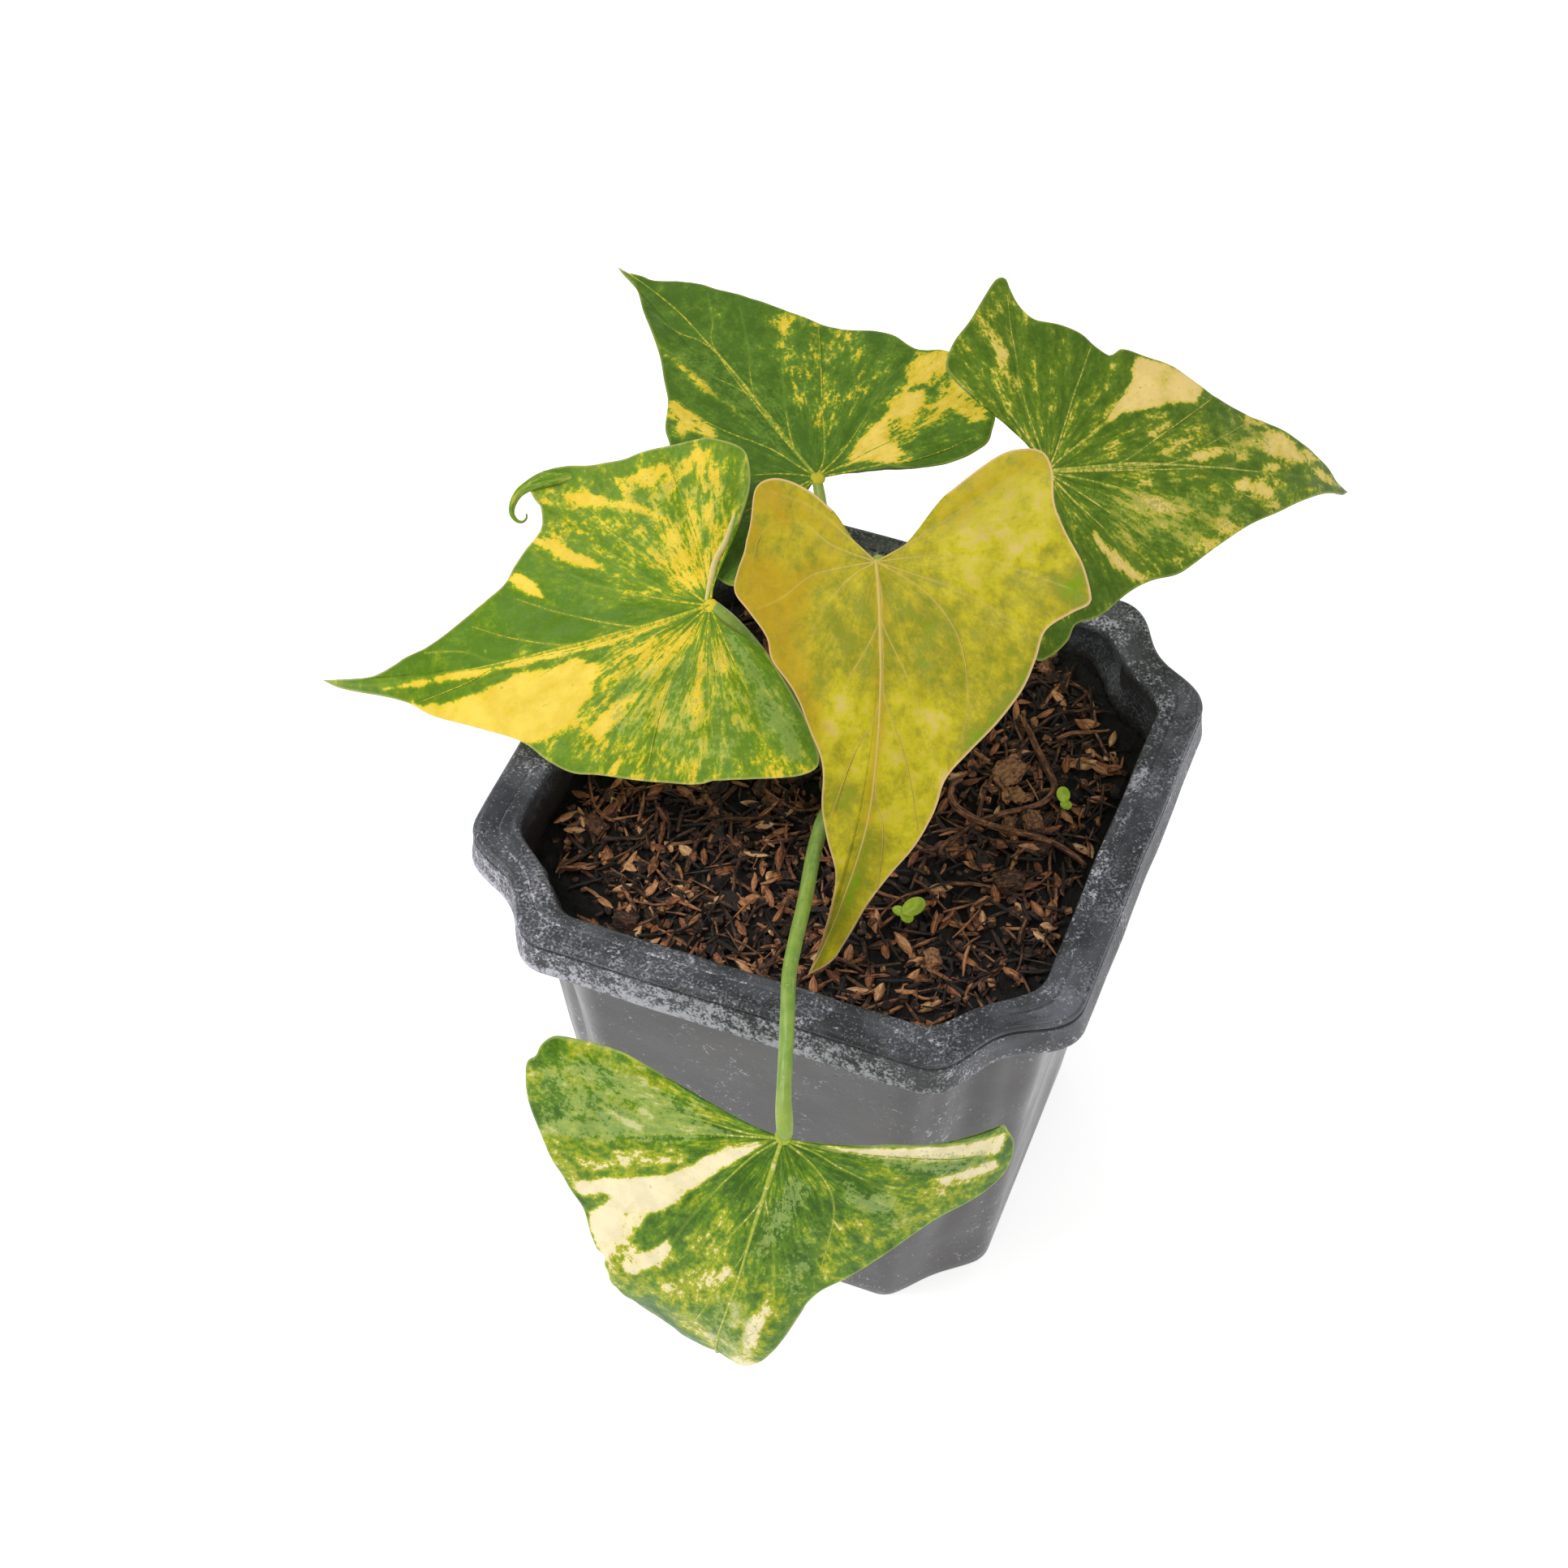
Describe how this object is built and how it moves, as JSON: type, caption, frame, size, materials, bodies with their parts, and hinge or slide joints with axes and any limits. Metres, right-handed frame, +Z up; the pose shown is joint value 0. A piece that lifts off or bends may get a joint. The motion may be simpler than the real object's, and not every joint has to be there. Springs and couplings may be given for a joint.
{
  "type": "potted anthurium",
  "caption": "Potted foliage plant with large variegated heart-shaped leaves on thin arching stalks, standing in a square plastic nursery pot with cut corners and a turned-down rim.",
  "frame": {"origin": "the middle of the pot's underside, on the surface it stands on", "axes": "+Z up, -Y towards the side with the hanging front leaf; the pot's flat sides face +X, -X, +Y and -Y"},
  "size_m": [0.2258, 0.2452, 0.225],
  "materials": {
    "pot_plastic": "satin dark grey moulded plastic",
    "potting_mix": "loose dark mix of bark, coir and grain husks",
    "crown": "rough green-brown stem",
    "stalk": "smooth green stalk",
    "leaf_variegated": "satin green with yellow and cream sectors",
    "leaf_green": "satin deep green with yellow marbling",
    "leaf_young": "satin olive yellow with a coppery tint",
    "seedling": "soft bright green"
  },
  "bodies": {
    "root": {"pot": "pot_plastic", "potting_mix": "potting_mix", "crown": "crown", "petiole_left": "stalk", "petiole_back_left": "stalk", "petiole_right": "stalk", "petiole_young": "stalk", "petiole_front": "stalk", "blade_left": "leaf_variegated", "blade_back_left": "leaf_green", "blade_right": "leaf_green", "blade_young": "leaf_young", "blade_front": "leaf_variegated", "seedling_front": "seedling", "seedling_side": "seedling"}
  },
  "joints": []
}
